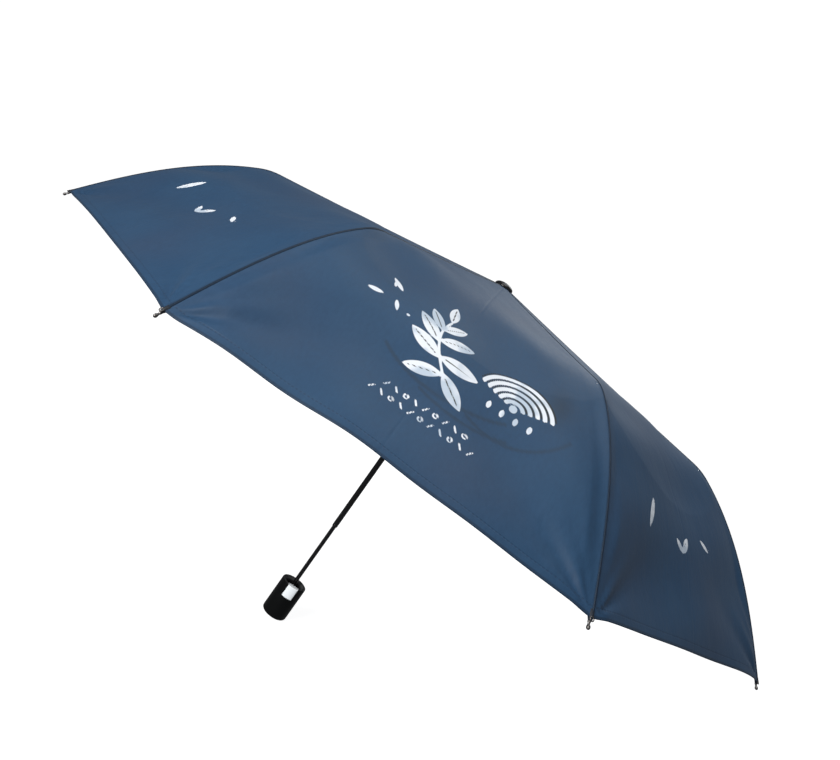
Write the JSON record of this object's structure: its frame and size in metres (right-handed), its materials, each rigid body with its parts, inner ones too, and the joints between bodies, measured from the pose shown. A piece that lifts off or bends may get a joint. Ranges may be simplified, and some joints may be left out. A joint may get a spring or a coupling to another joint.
{
  "type": "compact folding umbrella",
  "caption": "Compact automatic folding umbrella standing open, with a sewn cover on folding ribs, a telescoping shaft, a sliding runner and a short handle with a push button.",
  "frame": {"origin": "centre of the flat end of the handle", "axes": "+Z along the shaft from the handle to the crown; -Y towards the middle of the first gore, on the side of the release button; +X to the right of it"},
  "size_m": [0.9038, 0.9038, 0.5382],
  "materials": {
    "handle_black": "satin black moulded plastic",
    "inner_black": "matt black moulded plastic",
    "button_silver": "pale silver lacquer",
    "shaft_black": "semi-gloss black lacquer on steel tube",
    "rib_steel": "zinc-plated folded strip and wire",
    "spring_steel": "drawn spring wire",
    "cap_black": "semi-gloss black",
    "navy_cloth": "satin woven polyester with seams along the ribs and a stitched hem"
  },
  "bodies": {
    "handle": {"handle_shell": "handle_black", "handle_collar": "inner_black", "handle_core": "inner_black", "handle_end_cap": "inner_black", "lower_tube": "shaft_black", "shaft_spring": "spring_steel", "button_spring": "spring_steel"},
    "button": {"release_button": "button_silver"},
    "middle_tube": {"middle_tube": "shaft_black"},
    "crown": {"top_tube": "shaft_black", "crown_notch": "inner_black", "crown_wire": "spring_steel", "crown_cap": "cap_black", "canopy_gore_1": "navy_cloth", "canopy_gore_2": "navy_cloth", "canopy_gore_3": "navy_cloth", "canopy_gore_4": "navy_cloth", "canopy_gore_5": "navy_cloth", "canopy_gore_6": "navy_cloth", "canopy_gore_7": "navy_cloth", "canopy_gore_8": "navy_cloth"},
    "runner": {"runner": "inner_black", "runner_wire": "spring_steel"},
    "top_rib_1": {"top_rib_1": "rib_steel"},
    "top_rib_2": {"top_rib_2": "rib_steel"},
    "top_rib_3": {"top_rib_3": "rib_steel"},
    "top_rib_4": {"top_rib_4": "rib_steel"},
    "top_rib_5": {"top_rib_5": "rib_steel"},
    "top_rib_6": {"top_rib_6": "rib_steel"},
    "top_rib_7": {"top_rib_7": "rib_steel"},
    "top_rib_8": {"top_rib_8": "rib_steel"},
    "middle_rib_1": {"middle_rib_1": "rib_steel"},
    "middle_rib_2": {"middle_rib_2": "rib_steel"},
    "middle_rib_3": {"middle_rib_3": "rib_steel"},
    "middle_rib_4": {"middle_rib_4": "rib_steel"},
    "middle_rib_5": {"middle_rib_5": "rib_steel"},
    "middle_rib_6": {"middle_rib_6": "rib_steel"},
    "middle_rib_7": {"middle_rib_7": "rib_steel"},
    "middle_rib_8": {"middle_rib_8": "rib_steel"},
    "outer_rib_1": {"outer_rib_1": "rib_steel"},
    "outer_rib_2": {"outer_rib_2": "rib_steel"},
    "outer_rib_3": {"outer_rib_3": "rib_steel"},
    "outer_rib_4": {"outer_rib_4": "rib_steel"},
    "outer_rib_5": {"outer_rib_5": "rib_steel"},
    "outer_rib_6": {"outer_rib_6": "rib_steel"},
    "outer_rib_7": {"outer_rib_7": "rib_steel"},
    "outer_rib_8": {"outer_rib_8": "rib_steel"},
    "stretcher_1": {"stretcher_1": "rib_steel"},
    "stretcher_2": {"stretcher_2": "rib_steel"},
    "stretcher_3": {"stretcher_3": "rib_steel"},
    "stretcher_4": {"stretcher_4": "rib_steel"},
    "stretcher_5": {"stretcher_5": "rib_steel"},
    "stretcher_6": {"stretcher_6": "rib_steel"},
    "stretcher_7": {"stretcher_7": "rib_steel"},
    "stretcher_8": {"stretcher_8": "rib_steel"}
  },
  "joints": [
    {"name": "lower_slide", "type": "slide", "parent": "handle", "child": "middle_tube", "axis": [0, 0, -1], "range_m": [0, 0.086]},
    {"name": "upper_slide", "type": "slide", "parent": "middle_tube", "child": "crown", "axis": [0, 0, -1], "range_m": [0, 0.157]},
    {"name": "runner_slide", "type": "slide", "parent": "crown", "child": "runner", "axis": [0, 0, -1], "range_m": [0, 0.13546], "deforming": ["canopy_gore_1", "canopy_gore_2", "canopy_gore_3", "canopy_gore_4", "canopy_gore_5", "canopy_gore_6", "canopy_gore_7", "canopy_gore_8"]},
    {"name": "button_press", "type": "slide", "parent": "handle", "child": "button", "axis": [-0.1736, 0.9848, 0], "range_m": [0, 0.0025], "stiffness_N_per_m": 400, "springref_m": -0.002, "deforming": ["button_spring"]},
    {"name": "top_rib_hinge_1", "type": "hinge", "parent": "crown", "child": "top_rib_1", "pos_m": [-0.00364, -0.00879, 0.52825], "axis": [0.9239, -0.3827, 0], "range_deg": [0, 79.15]},
    {"name": "top_rib_hinge_2", "type": "hinge", "parent": "crown", "child": "top_rib_2", "pos_m": [0.00364, -0.00879, 0.52825], "axis": [0.9239, 0.3827, 0], "range_deg": [0, 79.15]},
    {"name": "top_rib_hinge_3", "type": "hinge", "parent": "crown", "child": "top_rib_3", "pos_m": [0.00879, -0.00364, 0.52825], "axis": [0.3827, 0.9239, 0], "range_deg": [0, 79.15]},
    {"name": "top_rib_hinge_4", "type": "hinge", "parent": "crown", "child": "top_rib_4", "pos_m": [0.00879, 0.00364, 0.52825], "axis": [-0.3827, 0.9239, 0], "range_deg": [0, 79.15]},
    {"name": "top_rib_hinge_5", "type": "hinge", "parent": "crown", "child": "top_rib_5", "pos_m": [0.00364, 0.00879, 0.52825], "axis": [-0.9239, 0.3827, 0], "range_deg": [0, 79.15]},
    {"name": "top_rib_hinge_6", "type": "hinge", "parent": "crown", "child": "top_rib_6", "pos_m": [-0.00364, 0.00879, 0.52825], "axis": [-0.9239, -0.3827, 0], "range_deg": [0, 79.15]},
    {"name": "top_rib_hinge_7", "type": "hinge", "parent": "crown", "child": "top_rib_7", "pos_m": [-0.00879, 0.00364, 0.52825], "axis": [-0.3827, -0.9239, 0], "range_deg": [0, 79.15]},
    {"name": "top_rib_hinge_8", "type": "hinge", "parent": "crown", "child": "top_rib_8", "pos_m": [-0.00879, -0.00364, 0.52825], "axis": [0.3827, -0.9239, 0], "range_deg": [0, 79.15]},
    {"name": "middle_rib_hinge_1", "type": "hinge", "parent": "top_rib_1", "child": "middle_rib_1", "pos_m": [-0.06384, -0.15411, 0.50007], "axis": [-0.9239, 0.3827, 0], "range_deg": [0, 177.6]},
    {"name": "middle_rib_hinge_2", "type": "hinge", "parent": "top_rib_2", "child": "middle_rib_2", "pos_m": [0.06384, -0.15411, 0.50007], "axis": [-0.9239, -0.3827, 0], "range_deg": [0, 177.6]},
    {"name": "middle_rib_hinge_3", "type": "hinge", "parent": "top_rib_3", "child": "middle_rib_3", "pos_m": [0.15411, -0.06384, 0.50007], "axis": [-0.3827, -0.9239, 0], "range_deg": [0, 177.6]},
    {"name": "middle_rib_hinge_4", "type": "hinge", "parent": "top_rib_4", "child": "middle_rib_4", "pos_m": [0.15411, 0.06384, 0.50007], "axis": [0.3827, -0.9239, 0], "range_deg": [0, 177.6]},
    {"name": "middle_rib_hinge_5", "type": "hinge", "parent": "top_rib_5", "child": "middle_rib_5", "pos_m": [0.06384, 0.15411, 0.50007], "axis": [0.9239, -0.3827, 0], "range_deg": [0, 177.6]},
    {"name": "middle_rib_hinge_6", "type": "hinge", "parent": "top_rib_6", "child": "middle_rib_6", "pos_m": [-0.06384, 0.15411, 0.50007], "axis": [0.9239, 0.3827, 0], "range_deg": [0, 177.6]},
    {"name": "middle_rib_hinge_7", "type": "hinge", "parent": "top_rib_7", "child": "middle_rib_7", "pos_m": [-0.15411, 0.06384, 0.50007], "axis": [0.3827, 0.9239, 0], "range_deg": [0, 177.6]},
    {"name": "middle_rib_hinge_8", "type": "hinge", "parent": "top_rib_8", "child": "middle_rib_8", "pos_m": [-0.15411, -0.06384, 0.50007], "axis": [-0.3827, 0.9239, 0], "range_deg": [0, 177.6]},
    {"name": "outer_rib_hinge_1", "type": "hinge", "parent": "middle_rib_1", "child": "outer_rib_1", "pos_m": [-0.12225, -0.29514, 0.47236], "axis": [0.9239, -0.3827, 0], "range_deg": [0, 146.34]},
    {"name": "outer_rib_hinge_2", "type": "hinge", "parent": "middle_rib_2", "child": "outer_rib_2", "pos_m": [0.12225, -0.29514, 0.47236], "axis": [0.9239, 0.3827, 0], "range_deg": [0, 146.34]},
    {"name": "outer_rib_hinge_3", "type": "hinge", "parent": "middle_rib_3", "child": "outer_rib_3", "pos_m": [0.29514, -0.12225, 0.47236], "axis": [0.3827, 0.9239, 0], "range_deg": [0, 146.34]},
    {"name": "outer_rib_hinge_4", "type": "hinge", "parent": "middle_rib_4", "child": "outer_rib_4", "pos_m": [0.29514, 0.12225, 0.47236], "axis": [-0.3827, 0.9239, 0], "range_deg": [0, 146.34]},
    {"name": "outer_rib_hinge_5", "type": "hinge", "parent": "middle_rib_5", "child": "outer_rib_5", "pos_m": [0.12225, 0.29514, 0.47236], "axis": [-0.9239, 0.3827, 0], "range_deg": [0, 146.34]},
    {"name": "outer_rib_hinge_6", "type": "hinge", "parent": "middle_rib_6", "child": "outer_rib_6", "pos_m": [-0.12225, 0.29514, 0.47236], "axis": [-0.9239, -0.3827, 0], "range_deg": [0, 146.34]},
    {"name": "outer_rib_hinge_7", "type": "hinge", "parent": "middle_rib_7", "child": "outer_rib_7", "pos_m": [-0.29514, 0.12225, 0.47236], "axis": [-0.3827, -0.9239, 0], "range_deg": [0, 146.34]},
    {"name": "outer_rib_hinge_8", "type": "hinge", "parent": "middle_rib_8", "child": "outer_rib_8", "pos_m": [-0.29514, -0.12225, 0.47236], "axis": [0.3827, -0.9239, 0], "range_deg": [0, 146.34]},
    {"name": "stretcher_hinge_1", "type": "hinge", "parent": "runner", "child": "stretcher_1", "pos_m": [-0.00344, -0.00831, 0.47893], "axis": [-0.9239, 0.3827, 0], "range_deg": [0, 68.4]},
    {"name": "stretcher_hinge_2", "type": "hinge", "parent": "runner", "child": "stretcher_2", "pos_m": [0.00344, -0.00831, 0.47893], "axis": [-0.9239, -0.3827, 0], "range_deg": [0, 68.4]},
    {"name": "stretcher_hinge_3", "type": "hinge", "parent": "runner", "child": "stretcher_3", "pos_m": [0.00831, -0.00344, 0.47893], "axis": [-0.3827, -0.9239, 0], "range_deg": [0, 68.4]},
    {"name": "stretcher_hinge_4", "type": "hinge", "parent": "runner", "child": "stretcher_4", "pos_m": [0.00831, 0.00344, 0.47893], "axis": [0.3827, -0.9239, 0], "range_deg": [0, 68.4]},
    {"name": "stretcher_hinge_5", "type": "hinge", "parent": "runner", "child": "stretcher_5", "pos_m": [0.00344, 0.00831, 0.47893], "axis": [0.9239, -0.3827, 0], "range_deg": [0, 68.4]},
    {"name": "stretcher_hinge_6", "type": "hinge", "parent": "runner", "child": "stretcher_6", "pos_m": [-0.00344, 0.00831, 0.47893], "axis": [0.9239, 0.3827, 0], "range_deg": [0, 68.4]},
    {"name": "stretcher_hinge_7", "type": "hinge", "parent": "runner", "child": "stretcher_7", "pos_m": [-0.00831, 0.00344, 0.47893], "axis": [0.3827, 0.9239, 0], "range_deg": [0, 68.4]},
    {"name": "stretcher_hinge_8", "type": "hinge", "parent": "runner", "child": "stretcher_8", "pos_m": [-0.00831, -0.00344, 0.47893], "axis": [-0.3827, 0.9239, 0], "range_deg": [0, 68.4]}
  ],
  "couplings": [
    {"joint": "top_rib_hinge_1", "follows": "runner_slide", "rad_per_m": 10.195},
    {"joint": "top_rib_hinge_2", "follows": "runner_slide", "rad_per_m": 10.195},
    {"joint": "top_rib_hinge_3", "follows": "runner_slide", "rad_per_m": 10.195},
    {"joint": "top_rib_hinge_4", "follows": "runner_slide", "rad_per_m": 10.195},
    {"joint": "top_rib_hinge_5", "follows": "runner_slide", "rad_per_m": 10.195},
    {"joint": "top_rib_hinge_6", "follows": "runner_slide", "rad_per_m": 10.195},
    {"joint": "top_rib_hinge_7", "follows": "runner_slide", "rad_per_m": 10.195},
    {"joint": "top_rib_hinge_8", "follows": "runner_slide", "rad_per_m": 10.195},
    {"joint": "middle_rib_hinge_1", "follows": "runner_slide", "rad_per_m": 22.879},
    {"joint": "middle_rib_hinge_2", "follows": "runner_slide", "rad_per_m": 22.879},
    {"joint": "middle_rib_hinge_3", "follows": "runner_slide", "rad_per_m": 22.879},
    {"joint": "middle_rib_hinge_4", "follows": "runner_slide", "rad_per_m": 22.879},
    {"joint": "middle_rib_hinge_5", "follows": "runner_slide", "rad_per_m": 22.879},
    {"joint": "middle_rib_hinge_6", "follows": "runner_slide", "rad_per_m": 22.879},
    {"joint": "middle_rib_hinge_7", "follows": "runner_slide", "rad_per_m": 22.879},
    {"joint": "middle_rib_hinge_8", "follows": "runner_slide", "rad_per_m": 22.879},
    {"joint": "outer_rib_hinge_1", "follows": "runner_slide", "rad_per_m": 18.851},
    {"joint": "outer_rib_hinge_2", "follows": "runner_slide", "rad_per_m": 18.851},
    {"joint": "outer_rib_hinge_3", "follows": "runner_slide", "rad_per_m": 18.851},
    {"joint": "outer_rib_hinge_4", "follows": "runner_slide", "rad_per_m": 18.851},
    {"joint": "outer_rib_hinge_5", "follows": "runner_slide", "rad_per_m": 18.851},
    {"joint": "outer_rib_hinge_6", "follows": "runner_slide", "rad_per_m": 18.851},
    {"joint": "outer_rib_hinge_7", "follows": "runner_slide", "rad_per_m": 18.851},
    {"joint": "outer_rib_hinge_8", "follows": "runner_slide", "rad_per_m": 18.851},
    {"joint": "stretcher_hinge_1", "follows": "runner_slide", "rad_per_m": 8.8103},
    {"joint": "stretcher_hinge_2", "follows": "runner_slide", "rad_per_m": 8.8103},
    {"joint": "stretcher_hinge_3", "follows": "runner_slide", "rad_per_m": 8.8103},
    {"joint": "stretcher_hinge_4", "follows": "runner_slide", "rad_per_m": 8.8103},
    {"joint": "stretcher_hinge_5", "follows": "runner_slide", "rad_per_m": 8.8103},
    {"joint": "stretcher_hinge_6", "follows": "runner_slide", "rad_per_m": 8.8103},
    {"joint": "stretcher_hinge_7", "follows": "runner_slide", "rad_per_m": 8.8103},
    {"joint": "stretcher_hinge_8", "follows": "runner_slide", "rad_per_m": 8.8103}
  ]
}
